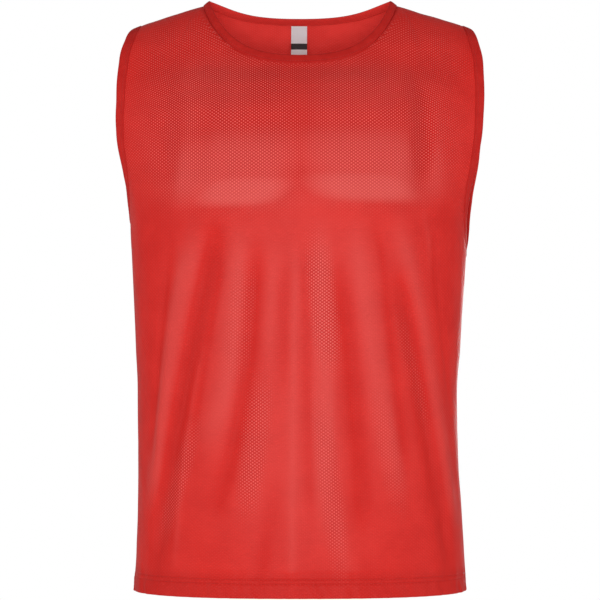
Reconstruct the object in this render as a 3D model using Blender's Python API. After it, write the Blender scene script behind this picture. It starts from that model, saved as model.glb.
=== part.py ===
"""A sleeveless training bib in mesh knit, filled out as if worn, with nobody in it.

Metres, +Z up. The front faces -Y and +X is the wearer's left. The origin lies midway between the
two high points of the shoulders, level with the top of the neck binding.
"""
import bmesh
import bpy
import numpy as np

# Cloth
WALL = 0.0015
SEAM_GAP = 0.0003
HEM_TURN = 0.020
HEM_WALL = 0.0024
HEM_STEP = 0.0015

# Body of the bib: one row for each level, from the hem up
LEVELS = np.array([
    (-0.687, 0.1936, 0.0000, 0.1240, 0.1150),
    (-0.660, 0.1915, 0.0003, 0.1225, 0.1125),
    (-0.631, 0.1900, 0.0000, 0.1210, 0.1090),
    (-0.584, 0.1880, -0.0006, 0.1190, 0.1040),
    (-0.526, 0.1863, -0.0023, 0.1175, 0.0985),
    (-0.467, 0.1858, -0.0029, 0.1165, 0.0955),
    (-0.408, 0.1887, -0.0023, 0.1165, 0.0950),
    (-0.350, 0.1916, -0.0018, 0.1180, 0.0965),
    (-0.300, 0.1946, -0.0012, 0.1210, 0.1010),
    (-0.260, 0.1968, -0.0008, 0.1265, 0.1070),
    (-0.225, 0.1975, 0.0000, 0.1300, 0.1130),
    (-0.200, 0.1975, 0.0000, 0.1275, 0.1165),
    (-0.150, 0.1975, 0.0000, 0.1160, 0.1155),
    (-0.105, 0.1975, 0.0000, 0.0955, 0.1080),
    (-0.079, 0.1975, 0.0000, 0.0755, 0.1000),
    (-0.050, 0.1975, 0.0000, 0.0620, 0.0880),
    (-0.0225, 0.1975, 0.0000, 0.0500, 0.0710),
    (0.000, 0.1975, 0.0000, 0.0400, 0.0520),
], dtype=[(name, float) for name in ("height", "half_width", "shift", "front_depth", "back_depth")])
ROUNDNESS = 2.4
GIRTH_RATIO = 1.62

# Neck: half width, depths in front and behind, and heights, at the seam and at the free edge
NECK_SEAM = {"half_width": 0.1125, "front": 0.0755, "back": 0.0710,
             "side_height": -0.0070, "front_height": -0.0790, "back_height": -0.0225}
NECK_EDGE = {"half_width": 0.1055, "front": 0.0700, "back": 0.0625,
             "side_height": 0.0000, "front_height": -0.0688, "back_height": -0.0157}
NECK_SCOOP = {"front": (0.62, 0.75), "back": (0.70, 2.00)}

# Shoulders and armholes, at the panel's own edge. The bulge is how far the edge stands out past a
# straight line from the underarm, at a rise of 0, to the shoulder tip, at 1. The front stands in
# beside the left armhole, and the cloth beside the upper right armhole stands in too.
SHOULDER_TIP = (0.1898, -0.0300)
UNDERARM_HEIGHT = {"right": -0.261, "left": -0.300}
ARMHOLE_DEPTH = {"front": 0.056, "back": 0.058}
ARMHOLE_BULGE = np.array([
    (0.00, 0.0000), (0.10, 0.0004), (0.25, 0.0032), (0.45, 0.0119),
    (0.60, 0.0139), (0.80, 0.0118), (0.92, 0.0066), (1.00, 0.0000),
], dtype=[("rise", float), ("bulge", float)])
LEFT_FRONT_INSET = 0.006
INSET_LOWNESS = 0.6
RIGHT_INSET = 0.0046
RIGHT_INSET_RISE = (0.20, 0.65)
RIGHT_INSET_POWER = 4

# The upper cloth: the rise by which the round body has turned into a flat slant, how late the cloth
# turns in to the upper edge, and the share of the half width over which that turn grows sharper
SLANT_FROM = 0.6
TURN_POWER = 3
TURN_SPREAD = 0.8

# Bindings: width past the seam, thickness at the seam and at their middle, and their section by
# shares of the width and of half the thickness
ARMHOLE_BINDING_WIDTH = 0.0110
BINDING_ROOT = 0.0006
BINDING_THICKNESS = 0.0026
BINDING_SECTION = np.array([(0.14, 1.00), (0.78, 1.00), (1.00, 0.45)],
                           dtype=[("across", float), ("lift", float)])

# Label, and its rows from the lower end up, in the panel's own rows counted down from the neck seam
LABEL_HALF_WIDTH = 0.0095
LABEL_CENTRE = -0.0010
LABEL_WALL = 0.0010
LABEL_ROWS = np.array([4.4, 4, 3, 2, 1, 0.35])

# Folds: height of the ridge (less than nothing for a trough), half width, and three points of the
# line it follows, given by their sideways place and height
FOLD_COLUMNS = ("rise", "half_width", "top_x", "top_z", "middle_x", "middle_z", "low_x", "low_z")
FRONT_FOLDS = np.array([
    (0.0030, 0.013, -0.119, -0.282, -0.146, -0.420, -0.169, -0.576),
    (-0.0040, 0.012, -0.096, -0.282, -0.130, -0.441, -0.164, -0.650),
    (0.0022, 0.014, -0.070, -0.282, -0.078, -0.400, -0.100, -0.510),
    (-0.0026, 0.011, -0.051, -0.300, -0.062, -0.440, -0.090, -0.576),
    (0.0014, 0.007, -0.006, -0.310, -0.008, -0.480, -0.009, -0.670),
    (-0.0022, 0.013, 0.045, -0.320, 0.062, -0.460, 0.072, -0.600),
    (0.0020, 0.013, 0.066, -0.282, 0.086, -0.420, 0.110, -0.560),
    (0.0026, 0.012, 0.113, -0.270, 0.146, -0.420, 0.175, -0.600),
    (-0.0036, 0.011, 0.116, -0.330, 0.146, -0.500, 0.170, -0.650),
    (-0.0028, 0.013, 0.132, -0.090, 0.138, -0.150, 0.136, -0.215),
    (-0.0016, 0.013, -0.142, -0.150, -0.148, -0.190, -0.150, -0.230),
], dtype=[(name, float) for name in FOLD_COLUMNS])
BACK_FOLDS = np.array([
    (-0.0034, 0.013, 0.108, -0.260, 0.135, -0.420, 0.158, -0.620),
    (0.0028, 0.013, 0.078, -0.250, 0.098, -0.420, 0.122, -0.600),
    (-0.0026, 0.012, 0.046, -0.290, 0.058, -0.450, 0.066, -0.610),
    (0.0018, 0.011, 0.010, -0.300, 0.014, -0.460, 0.010, -0.640),
    (-0.0024, 0.012, -0.032, -0.270, -0.040, -0.430, -0.052, -0.580),
    (0.0024, 0.013, -0.064, -0.280, -0.082, -0.450, -0.094, -0.620),
    (-0.0038, 0.013, -0.098, -0.250, -0.124, -0.430, -0.150, -0.640),
    (-0.0024, 0.014, -0.120, -0.090, -0.130, -0.150, -0.134, -0.210),
    (-0.0020, 0.014, 0.124, -0.100, 0.130, -0.150, 0.130, -0.200),
], dtype=[(name, float) for name in FOLD_COLUMNS])
FOLD_TAPER = 0.070

# How finely the cloth is divided
NECK_COLUMNS = 12
SHOULDER_COLUMNS = 7
NECK_SHARE = 0.635
LOWER_ROWS = 13
UPPER_ROWS = 18

COLOURS = {"mesh_knit": (0.62, 0.045, 0.035, 1), "binding_knit": (0.48, 0.02, 0.015, 1),
           "label_weave": (0.82, 0.82, 0.80, 1)}


def ease(share):
    """A share from 0 to 1 that leaves and arrives gently."""
    share = np.clip(share, 0, 1)
    return share * share * (3 - 2 * share)


def smooth_read(places, values, at):
    """Values read between rows along a curve that never swings past them."""
    at = np.clip(at, places[0], places[-1])
    step = np.diff(places)
    rise = np.diff(values) / step
    slope = np.concatenate([rise[:1], np.zeros(len(rise) - 1), rise[-1:]])
    product = rise[:-1] * rise[1:]
    total = rise[:-1] + rise[1:]
    same_way = product > 0
    slope[1:-1][same_way] = 2 * product[same_way] / total[same_way]
    low = np.clip(np.searchsorted(places, at) - 1, 0, len(step) - 1)
    t = (at - places[low]) / step[low]
    start = values[low] + t * step[low] * slope[low]
    end = values[low + 1] - (1 - t) * step[low] * slope[low + 1]
    return start + (end - start) * ease(t)


def level(name, height):
    return smooth_read(LEVELS["height"], LEVELS[name], height)


def ring_share(share):
    """Sideways place and depth, each from 0 to 1, at an equal share of the way round a panel."""
    angle = np.linspace(0, np.pi / 2, 400)
    across = np.sin(angle) ** (2 / ROUNDNESS)
    out = np.cos(angle) ** (2 / ROUNDNESS)
    run = np.hypot(np.diff(across) * GIRTH_RATIO, np.diff(out))
    run = np.concatenate([[0], np.cumsum(run)]) / run.sum()
    return np.interp(np.abs(share), run, across), np.interp(np.abs(share), run, out)


def neck_line(sizes, side, angle):
    """Points of the neck line on one side, from its middle at 0 to the shoulder at a right angle."""
    base, growth = NECK_SCOOP[side]
    drop = np.clip(np.cos(angle), 0, 1) ** (base + growth * np.sin(angle) ** 2)
    out = sizes[side] * np.cos(angle)
    height = sizes["side_height"] + (sizes[side + "_height"] - sizes["side_height"]) * drop
    return sizes["half_width"] * np.sin(angle), out, height


def top_edge(side, share):
    """Sideways place, depth and height of a panel's upper edge: the neck, then the shoulder."""
    along_neck = np.clip(np.abs(share) / NECK_SHARE, 0, 1)
    across, out, height = neck_line(NECK_SEAM, side, along_neck * np.pi / 2)
    out = np.where(along_neck < 1, out, 0)
    along_shoulder = np.clip((np.abs(share) - NECK_SHARE) / (1 - NECK_SHARE), 0, 1)
    tip_across, tip_height = SHOULDER_TIP
    across = across + (tip_across - across) * along_shoulder
    height = height + (tip_height - height) * along_shoulder
    return across, out, height


def columns():
    neck = np.linspace(0, NECK_SHARE, NECK_COLUMNS + 1)
    shoulder = np.linspace(NECK_SHARE, 1, SHOULDER_COLUMNS + 1)
    half = np.concatenate([neck, shoulder[1:]])
    return np.concatenate([-half[:0:-1], half])


def lower_rows():
    """Places up the body from the hem, 0, to the underarm, 1, with two rows where the hem ends."""
    middle = (UNDERARM_HEIGHT["left"] + UNDERARM_HEIGHT["right"]) / 2
    hem, past_hem = np.array([HEM_TURN, HEM_TURN + HEM_STEP]) / (middle - LEVELS["height"][0])
    return np.concatenate([[0, hem], np.linspace(past_hem, 1, LOWER_ROWS)])


def panel(side):
    """The middle of a panel's cloth as a grid of points, rows up from the hem and columns across."""
    share = columns()[None, :]
    body = lower_rows()[:, None]
    turn = np.linspace(0, np.pi, UPPER_ROWS + 1)[1:, None]
    across, out = ring_share(share)
    sign = np.sign(share)
    middle = (UNDERARM_HEIGHT["left"] + UNDERARM_HEIGHT["right"]) / 2
    underarm = middle + (UNDERARM_HEIGHT["left"] - middle) * share

    height = LEVELS["height"][0] + (underarm - LEVELS["height"][0]) * body
    lower_x = level("shift", height) + sign * across * level("half_width", height)
    lower_y = out * level(side + "_depth", height)
    lower = np.stack([lower_x, lower_y, height], axis=-1)

    rise = (1 - np.cos(turn)) / 2
    top_across, top_out, top_height = top_edge(side, share)
    height = underarm + (top_height - underarm) * rise
    top_place = top_across / SHOULDER_TIP[0]
    place = top_place + (across - top_place) * np.sqrt(1 - rise)
    reach = level("half_width", underarm) * (1 - rise) + SHOULDER_TIP[0] * rise
    reach = reach + smooth_read(ARMHOLE_BULGE["rise"], ARMHOLE_BULGE["bulge"], rise)
    if side == "front":
        inset = LEFT_FRONT_INSET * np.sin(np.pi * rise ** INSET_LOWNESS) ** 2
        reach = reach - np.where(share > 0, inset, 0)
    start, full = RIGHT_INSET_RISE
    inset = RIGHT_INSET * ease((rise - start) / (full - start)) * place ** RIGHT_INSET_POWER
    reach = reach - np.where(share < 0, inset, 0)
    upper_x = level("shift", underarm) * (1 - rise) + sign * place * reach

    edge_out = ARMHOLE_DEPTH[side] * np.sin(turn)
    full_out = level(side + "_depth", height)
    cut_place = place * (1 - np.clip(edge_out / full_out, 0, 1) ** ROUNDNESS) ** (1 / ROUNDNESS)
    round_out = full_out * (1 - cut_place ** ROUNDNESS) ** (1 / ROUNDNESS)
    slant_out = edge_out + (full_out - edge_out) * (1 - place ** ROUNDNESS)
    ring_out = round_out + (slant_out - round_out) * ease(rise / SLANT_FROM)
    sharpness = 1 + ease(np.abs(share) / TURN_SPREAD)
    turned = 1 - (1 - rise ** TURN_POWER) ** (1 / sharpness)
    upper_y = ring_out + (top_out - ring_out[-1]) * turned
    upper = np.stack([upper_x, upper_y, height], axis=-1)

    grid = np.concatenate([lower, upper])
    grid[..., 1] += SEAM_GAP / 2
    if side == "front":
        grid[..., 1] *= -1
    return grid


def directions(grid, side):
    """Outward directions of a panel's cloth, kept in the seam's own plane at each seam."""
    up = np.gradient(grid, axis=0)
    over = np.gradient(grid, axis=1)
    outward = np.cross(over, up)
    if side == "back":
        outward = -outward
    seam = np.zeros(grid.shape[:2], bool)
    seam[:-UPPER_ROWS, [0, -1]] = True
    seam[-1, np.abs(columns()) > NECK_SHARE - 1e-6] = True
    outward[seam, 1] = 0
    outward[0, :, 2] = 0
    return outward / np.linalg.norm(outward, axis=-1, keepdims=True)


def fold_lift(grid, folds):
    """How far the folds carry each point of a panel outwards."""
    run = np.linalg.norm(np.diff(grid, axis=1), axis=-1)
    along = np.concatenate([np.zeros((len(grid), 1)), np.cumsum(run, axis=1)], axis=1)
    lift = np.zeros(grid.shape[:2])
    for fold in folds:
        heights = np.array([fold["low_z"], fold["middle_z"], fold["top_z"]])
        places = np.array([fold["low_x"], fold["middle_x"], fold["top_x"]])
        for row, points in enumerate(grid):
            line = smooth_read(heights, places, points[:, 2])
            centre = np.interp(line, points[:, 0], along[row])
            away = (along[row] - centre) / fold["half_width"]
            from_end = np.minimum(heights[-1] - points[:, 2], points[:, 2] - heights[0])
            lift[row] += fold["rise"] * np.exp(-away ** 2) * ease(from_end / FOLD_TAPER + 0.5)
    return lift


def wall(name, outer, inner, material):
    """A closed wall between two grids of points."""
    mesh = bpy.data.meshes.new(name)
    rows, count = outer.shape[:2]
    points = np.concatenate([outer.reshape(-1, 3), inner.reshape(-1, 3)])
    index = np.arange(rows * count).reshape(rows, count)
    faces = []
    for shift, flip in ((0, False), (rows * count, True)):
        for row in range(rows - 1):
            for column in range(count - 1):
                face = [index[row, column], index[row, column + 1],
                        index[row + 1, column + 1], index[row + 1, column]]
                face = [int(corner) + shift for corner in face]
                faces.append(face[::-1] if flip else face)
    rim = list(index[0]) + list(index[1:, -1]) + list(index[-1, -2::-1]) + list(index[-2:0:-1, 0])
    for here, after in zip(rim, rim[1:] + rim[:1]):
        far = rows * count
        faces.append([int(after), int(here), int(here) + far, int(after) + far])
    mesh.from_pydata(points.tolist(), [], faces)
    return finish(name, mesh, material)


def strip(name, root, root_way, edge, material):
    """A folded strip round a closed line, from its root at the seam to its rounded free edge."""
    along = unit(np.roll(root, -1, axis=0) - np.roll(root, 1, axis=0))
    thick_way = unit(np.cross(along, edge - root))
    thick_way *= np.sign((thick_way * root_way).sum(axis=-1, keepdims=True))
    near, far = [root + root_way * BINDING_ROOT / 2], [root - root_way * BINDING_ROOT / 2]
    for across, lift in BINDING_SECTION:
        middle = root + (edge - root) * across
        near.append(middle + thick_way * lift * BINDING_THICKNESS / 2)
        far.append(middle - thick_way * lift * BINDING_THICKNESS / 2)
    rings = np.stack(near + far[::-1], axis=1)
    stations, sides = rings.shape[:2]
    faces = []
    for station in range(stations):
        following = (station + 1) % stations
        for corner in range(sides):
            beside = (corner + 1) % sides
            faces.append([station * sides + corner, station * sides + beside,
                          following * sides + beside, following * sides + corner])
    mesh = bpy.data.meshes.new(name)
    mesh.from_pydata(rings.reshape(-1, 3).tolist(), [], faces)
    return finish(name, mesh, material)


def finish(name, mesh, material):
    shape = bmesh.new()
    shape.from_mesh(mesh)
    bmesh.ops.recalc_face_normals(shape, faces=shape.faces)
    shape.to_mesh(mesh)
    shape.free()
    mesh.shade_smooth()
    mesh.set_sharp_from_angle(angle=np.radians(50))
    mesh.materials.append(material)
    piece = bpy.data.objects.new(name, mesh)
    bpy.context.scene.collection.objects.link(piece)
    return piece


def unit(vectors):
    return vectors / np.linalg.norm(vectors, axis=-1, keepdims=True)


def round_loop(values, times):
    """Values round a closed line, each evened out with its two neighbours."""
    for _ in range(times):
        values = (np.roll(values, 1, axis=0) + 2 * values + np.roll(values, -1, axis=0)) / 4
    return values


def past_the_edge(loop, out, centre):
    """Directions that carry the cloth on past its edge, away from the panels, round a closed line."""
    along = unit(np.roll(loop, -1, axis=0) - np.roll(loop, 1, axis=0))
    onward = unit(np.cross(along, out))
    return onward * np.sign((onward * (centre - loop)).sum())


def armhole_binding(name, grids, ways, column, material):
    """The strip round one armhole, carried on from the edges of both panels."""
    above = slice(-UPPER_ROWS - 1, None)
    loop, out = [], []
    for source, target in ((grids, loop), (ways, out)):
        ahead = source["front"][above, column]
        behind = source["back"][above, column]
        underarm = (ahead[0] + behind[0]) / 2
        tip = (ahead[-1] + behind[-1]) / 2
        target.extend([underarm, *ahead[1:-1], tip, *behind[-2:0:-1]])
    loop, out = np.array(loop), unit(round_loop(np.array(out), 2))
    onward = past_the_edge(loop, out, loop.mean(axis=0))
    root = loop + onward * SEAM_GAP
    return strip(name, root, out, root + onward * ARMHOLE_BINDING_WIDTH, material)


def neck_binding(grids, ways, material):
    """The strip round the neck, from the seam on the panels to its free edge."""
    angles = np.linspace(0, np.pi / 2, NECK_COLUMNS + 1)
    neck = slice(SHOULDER_COLUMNS, -SHOULDER_COLUMNS)
    loop, out, edge = [], [], []
    for side, sign in (("front", -1), ("back", 1)):
        across, depth, height = neck_line(NECK_EDGE, side, angles)
        half = np.stack([across, sign * depth, height], axis=-1)
        run = np.concatenate([half[:0:-1] * (-1, 1, 1), half])
        order = slice(0, -1) if side == "front" else slice(None, 0, -1)
        edge.extend(run[order])
        loop.extend(grids[side][-1, neck][order])
        out.extend(ways[side][-1, neck][order])
    loop, edge, out = np.array(loop), np.array(edge), unit(round_loop(np.array(out), 1))
    loop[[0, 2 * NECK_COLUMNS], 1] = 0
    root = loop + past_the_edge(loop, out, edge.mean(axis=0)) * SEAM_GAP
    return strip("neck_binding", root, out, edge, material)


def label(inner, material):
    """The label, carried on the inner side of the back panel's cloth."""
    middle = NECK_COLUMNS + SHOULDER_COLUMNS
    spacing = inner[-2, middle + 1, 0] - inner[-2, middle, 0]
    offsets = np.array([-LABEL_HALF_WIDTH, 0, LABEL_HALF_WIDTH]) + LABEL_CENTRE
    rows = len(inner) - 1 - LABEL_ROWS
    grid = np.zeros((len(rows), len(offsets), 3))
    for i, row in enumerate(rows):
        low = min(int(row), len(inner) - 2)
        line = inner[low] + (inner[low + 1] - inner[low]) * (row - low)
        for j, offset in enumerate(offsets):
            grid[i, j] = [np.interp(middle + offset / spacing, np.arange(len(line)), line[:, k])
                          for k in range(3)]
    inward = -directions_of(grid)
    near = grid + inward * SEAM_GAP
    return wall("neck_label", near, near + inward * LABEL_WALL, material)


def directions_of(grid):
    return -unit(np.cross(np.gradient(grid, axis=1), np.gradient(grid, axis=0)))


def material(name, roughness):
    made = bpy.data.materials.new(name)
    made.use_nodes = True
    shader = made.node_tree.nodes["Principled BSDF"]
    shader.inputs["Base Color"].default_value = COLOURS[name]
    shader.inputs["Roughness"].default_value = roughness
    shader.inputs["Metallic"].default_value = 0
    return made


def main():
    for old in list(bpy.data.objects):
        bpy.data.objects.remove(old)
    knit = material("mesh_knit", 0.8)
    smooth_knit = material("binding_knit", 0.75)
    woven = material("label_weave", 0.6)

    grids, ways = {}, {}
    thickness = np.full((LOWER_ROWS + 2 + UPPER_ROWS, 1, 1), WALL)
    thickness[:2] = HEM_WALL
    for side, folds in (("front", FRONT_FOLDS), ("back", BACK_FOLDS)):
        flat = panel(side)
        lift = fold_lift(flat, folds)
        grids[side] = flat + directions(flat, side) * lift[..., None]
        ways[side] = directions(grids[side], side)
        outer = grids[side] + ways[side] * WALL / 2
        inner = outer - ways[side] * thickness
        wall(side + "_panel", outer, inner, knit)
        if side == "back":
            label(inner, woven)
    armhole_binding("armhole_binding_right", grids, ways, 0, smooth_knit)
    armhole_binding("armhole_binding_left", grids, ways, -1, smooth_knit)
    neck_binding(grids, ways, smooth_knit)


main()
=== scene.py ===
"""Looks of the training bib: two panels of pinhole knit with a turned-up hem, bound neck and
armholes, their stitching, and a plain woven label.

Metres, +Z up. The front faces -Y and +X is the wearer's left.
"""

import bpy
import numpy as np
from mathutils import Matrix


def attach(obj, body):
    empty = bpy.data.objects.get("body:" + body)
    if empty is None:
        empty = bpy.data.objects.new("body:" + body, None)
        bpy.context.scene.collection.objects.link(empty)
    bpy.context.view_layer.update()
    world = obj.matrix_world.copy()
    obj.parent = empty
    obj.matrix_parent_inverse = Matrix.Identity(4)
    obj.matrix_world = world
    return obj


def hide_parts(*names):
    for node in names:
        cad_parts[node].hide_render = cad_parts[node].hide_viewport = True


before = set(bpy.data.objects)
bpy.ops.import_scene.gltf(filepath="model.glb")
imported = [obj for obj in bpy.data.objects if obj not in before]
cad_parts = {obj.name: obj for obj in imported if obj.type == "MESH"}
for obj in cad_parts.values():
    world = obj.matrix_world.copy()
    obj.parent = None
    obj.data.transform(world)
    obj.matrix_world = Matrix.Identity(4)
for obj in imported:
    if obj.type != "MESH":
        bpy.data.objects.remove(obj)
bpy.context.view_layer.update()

# ---- sizes shared with the solids

LEVELS = np.array([
    (-0.687, 0.1936, 0.0000, 0.1240, 0.1150),
    (-0.660, 0.1915, 0.0003, 0.1225, 0.1125),
    (-0.631, 0.1900, 0.0000, 0.1210, 0.1090),
    (-0.584, 0.1880, -0.0006, 0.1190, 0.1040),
    (-0.526, 0.1863, -0.0023, 0.1175, 0.0985),
    (-0.467, 0.1858, -0.0029, 0.1165, 0.0955),
    (-0.408, 0.1887, -0.0023, 0.1165, 0.0950),
    (-0.350, 0.1916, -0.0018, 0.1180, 0.0965),
    (-0.300, 0.1946, -0.0012, 0.1210, 0.1010),
    (-0.260, 0.1968, -0.0008, 0.1265, 0.1070),
    (-0.225, 0.1975, 0.0000, 0.1300, 0.1130),
    (-0.200, 0.1975, 0.0000, 0.1275, 0.1165),
    (-0.150, 0.1975, 0.0000, 0.1160, 0.1155),
    (-0.105, 0.1975, 0.0000, 0.0955, 0.1080),
    (-0.079, 0.1975, 0.0000, 0.0755, 0.1000),
    (-0.050, 0.1975, 0.0000, 0.0620, 0.0880),
    (-0.0225, 0.1975, 0.0000, 0.0500, 0.0710),
    (0.000, 0.1975, 0.0000, 0.0400, 0.0520),
], dtype=[(name, float) for name in
          ("height", "half_width", "shift", "front_depth", "back_depth")])
ROUNDNESS = 2.4
GIRTH_RATIO = 1.62
SEAM_GAP = 0.0003
HEM_TURN = 0.020
NECK_SEAM = {"half_width": 0.1125, "front": 0.0755, "back": 0.0710,
             "side_height": -0.0070, "front_height": -0.0790, "back_height": -0.0225}
NECK_EDGE = {"half_width": 0.1055, "front": 0.0700, "back": 0.0625,
             "side_height": 0.0000, "front_height": -0.0688, "back_height": -0.0157}
NECK_SCOOP = {"front": (0.62, 0.75), "back": (0.70, 2.00)}
SHOULDER_TIP = (0.1898, -0.0300)
UNDERARM_HEIGHT = {"right": -0.261, "left": -0.300}
ARMHOLE_DEPTH = {"front": 0.056, "back": 0.058}
ARMHOLE_BULGE = np.array([
    (0.00, 0.0000), (0.10, 0.0004), (0.25, 0.0032), (0.45, 0.0119),
    (0.60, 0.0139), (0.80, 0.0118), (0.92, 0.0066), (1.00, 0.0000),
], dtype=[("rise", float), ("bulge", float)])
LEFT_FRONT_INSET = 0.006
INSET_LOWNESS = 0.6
RIGHT_INSET = 0.0046
RIGHT_INSET_RISE = (0.20, 0.65)
RIGHT_INSET_POWER = 4
SLANT_FROM = 0.6
TURN_POWER = 3
TURN_SPREAD = 0.8
NECK_SHARE = 0.635
ARMHOLE_BINDING_WIDTH = 0.0110
FOLD_TAPER = 0.070

FOLD_COLUMNS = ("rise", "half_width", "top_x", "top_z", "middle_x", "middle_z", "low_x", "low_z")
FRONT_FOLDS = [
    (0.0030, 0.013, -0.119, -0.282, -0.146, -0.420, -0.169, -0.576),
    (-0.0040, 0.012, -0.096, -0.282, -0.130, -0.441, -0.164, -0.650),
    (0.0022, 0.014, -0.070, -0.282, -0.078, -0.400, -0.100, -0.510),
    (-0.0026, 0.011, -0.051, -0.300, -0.062, -0.440, -0.090, -0.576),
    (0.0014, 0.007, -0.006, -0.310, -0.008, -0.480, -0.009, -0.670),
    (-0.0022, 0.013, 0.045, -0.320, 0.062, -0.460, 0.072, -0.600),
    (0.0020, 0.013, 0.066, -0.282, 0.086, -0.420, 0.110, -0.560),
    (0.0026, 0.012, 0.113, -0.270, 0.146, -0.420, 0.175, -0.600),
    (-0.0036, 0.011, 0.116, -0.330, 0.146, -0.500, 0.170, -0.650),
    (-0.0028, 0.013, 0.132, -0.090, 0.138, -0.150, 0.136, -0.215),
    (-0.0016, 0.013, -0.142, -0.150, -0.148, -0.190, -0.150, -0.230),
]
BACK_FOLDS = [
    (-0.0034, 0.013, 0.108, -0.260, 0.135, -0.420, 0.158, -0.620),
    (0.0028, 0.013, 0.078, -0.250, 0.098, -0.420, 0.122, -0.600),
    (-0.0026, 0.012, 0.046, -0.290, 0.058, -0.450, 0.066, -0.610),
    (0.0018, 0.011, 0.010, -0.300, 0.014, -0.460, 0.010, -0.640),
    (-0.0024, 0.012, -0.032, -0.270, -0.040, -0.430, -0.052, -0.580),
    (0.0024, 0.013, -0.064, -0.280, -0.082, -0.450, -0.094, -0.620),
    (-0.0038, 0.013, -0.098, -0.250, -0.124, -0.430, -0.150, -0.640),
    (-0.0024, 0.014, -0.120, -0.090, -0.130, -0.150, -0.134, -0.210),
    (-0.0020, 0.014, 0.124, -0.100, 0.130, -0.150, 0.130, -0.200),
]

# ---- finer folds, which only the looks carry

SOFT_FRONT_FOLDS = [
    (0.0010, 0.007, -0.134, -0.300, -0.152, -0.430, -0.163, -0.560),
    (-0.0010, 0.006, -0.150, -0.290, -0.160, -0.400, -0.168, -0.520),
    (-0.0008, 0.006, -0.083, -0.300, -0.104, -0.400, -0.120, -0.500),
    (0.0009, 0.006, -0.108, -0.400, -0.128, -0.500, -0.142, -0.640),
    (-0.0008, 0.008, -0.017, -0.315, -0.018, -0.370, -0.019, -0.440),
    (0.0008, 0.009, -0.028, -0.300, -0.033, -0.350, -0.036, -0.410),
    (-0.0007, 0.007, 0.006, -0.300, 0.009, -0.420, 0.012, -0.590),
    (0.0007, 0.009, 0.025, -0.290, 0.028, -0.400, 0.031, -0.560),
    (-0.0008, 0.006, 0.085, -0.270, 0.092, -0.300, 0.097, -0.340),
    (-0.0010, 0.007, 0.096, -0.340, 0.106, -0.430, 0.118, -0.540),
    (0.0009, 0.006, 0.128, -0.380, 0.146, -0.470, 0.160, -0.590),
    (0.0008, 0.005, 0.141, -0.255, 0.146, -0.280, 0.150, -0.320),
    (-0.0009, 0.006, 0.152, -0.300, 0.162, -0.380, 0.172, -0.480),
    (-0.0007, 0.010, -0.030, -0.560, -0.036, -0.610, -0.045, -0.662),
    (0.0008, 0.010, 0.040, -0.580, 0.047, -0.620, 0.058, -0.664),
    (-0.0006, 0.010, -0.098, -0.130, -0.104, -0.160, -0.110, -0.200),
    (0.0007, 0.009, 0.150, -0.120, 0.154, -0.160, 0.156, -0.210),
    (0.0006, 0.008, -0.122, -0.130, -0.130, -0.180, -0.136, -0.235),
    (-0.0018, 0.013, 0.126, -0.080, 0.137, -0.150, 0.138, -0.205),
    (-0.0010, 0.012, -0.140, -0.080, -0.150, -0.130, -0.152, -0.190),
]
SOFT_BACK_FOLDS = [
    (0.0010, 0.007, 0.136, -0.280, 0.152, -0.400, 0.168, -0.540),
    (-0.0009, 0.006, 0.092, -0.300, 0.112, -0.400, 0.128, -0.520),
    (0.0008, 0.007, 0.030, -0.260, 0.036, -0.350, 0.040, -0.470),
    (-0.0008, 0.008, -0.010, -0.330, -0.014, -0.450, -0.020, -0.600),
    (-0.0009, 0.006, -0.080, -0.320, -0.102, -0.430, -0.114, -0.560),
    (0.0010, 0.007, -0.120, -0.270, -0.142, -0.390, -0.162, -0.520),
    (-0.0007, 0.010, 0.080, -0.580, 0.086, -0.620, 0.092, -0.664),
    (0.0007, 0.010, -0.062, -0.590, -0.070, -0.625, -0.080, -0.664),
    (-0.0008, 0.010, -0.030, -0.060, -0.034, -0.110, -0.030, -0.170),
    (0.0007, 0.012, 0.040, -0.070, 0.048, -0.120, 0.052, -0.190),
    (-0.0007, 0.009, 0.100, -0.150, 0.104, -0.200, 0.100, -0.250),
]

# Soft creases that run across a panel: rise, half height, and the two ends of each
CREASE_COLUMNS = ("rise", "half_height", "from_x", "from_z", "to_x", "to_z")
FRONT_CREASES = [
    (0.0015, 0.011, -0.125, -0.260, -0.020, -0.246),
    (0.0015, 0.011, 0.020, -0.240, 0.125, -0.250),
    (0.0006, 0.004, 0.150, -0.268, 0.185, -0.262),
    (-0.0005, 0.004, 0.148, -0.280, 0.182, -0.276),
]
BACK_CREASES = [
    (-0.0007, 0.0030, -0.070, -0.040, -0.016, -0.047),
    (0.0006, 0.0030, -0.066, -0.049, -0.012, -0.056),
    (-0.0006, 0.0030, 0.014, -0.050, 0.062, -0.041),
    (0.0016, 0.012, -0.120, -0.150, -0.030, -0.146),
    (0.0016, 0.012, 0.030, -0.146, 0.120, -0.150),
]

# Where the pinholes of the knit show most, with their painted light and painted shade: the middle of
# each patch, its half width and half height, its lean (sideways run for each metre up) and how
# strongly they show
PATCH_COLUMNS = ("x", "z", "half_width", "half_height", "lean", "amount")
FRONT_PATCHES = [
    (-0.085, -0.150, 0.100, 0.085, 0.0, 1.00),
    (0.085, -0.150, 0.090, 0.080, 0.0, 0.95),
    (-0.130, -0.070, 0.060, 0.040, 0.2, 0.55),
    (0.130, -0.070, 0.056, 0.040, -0.2, 0.55),
    (0.000, -0.110, 0.060, 0.040, 0.0, 0.65),
    (-0.052, -0.515, 0.014, 0.070, 0.10, 0.75),
    (-0.068, -0.375, 0.014, 0.060, 0.10, 0.45),
    (-0.138, -0.555, 0.010, 0.060, 0.28, 0.70),
    (0.026, -0.355, 0.014, 0.070, -0.10, 1.00),
    (0.034, -0.560, 0.012, 0.090, -0.12, 0.65),
    (0.100, -0.520, 0.012, 0.060, -0.20, 0.40),
    (0.128, -0.430, 0.008, 0.060, -0.25, 0.35),
]
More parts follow.
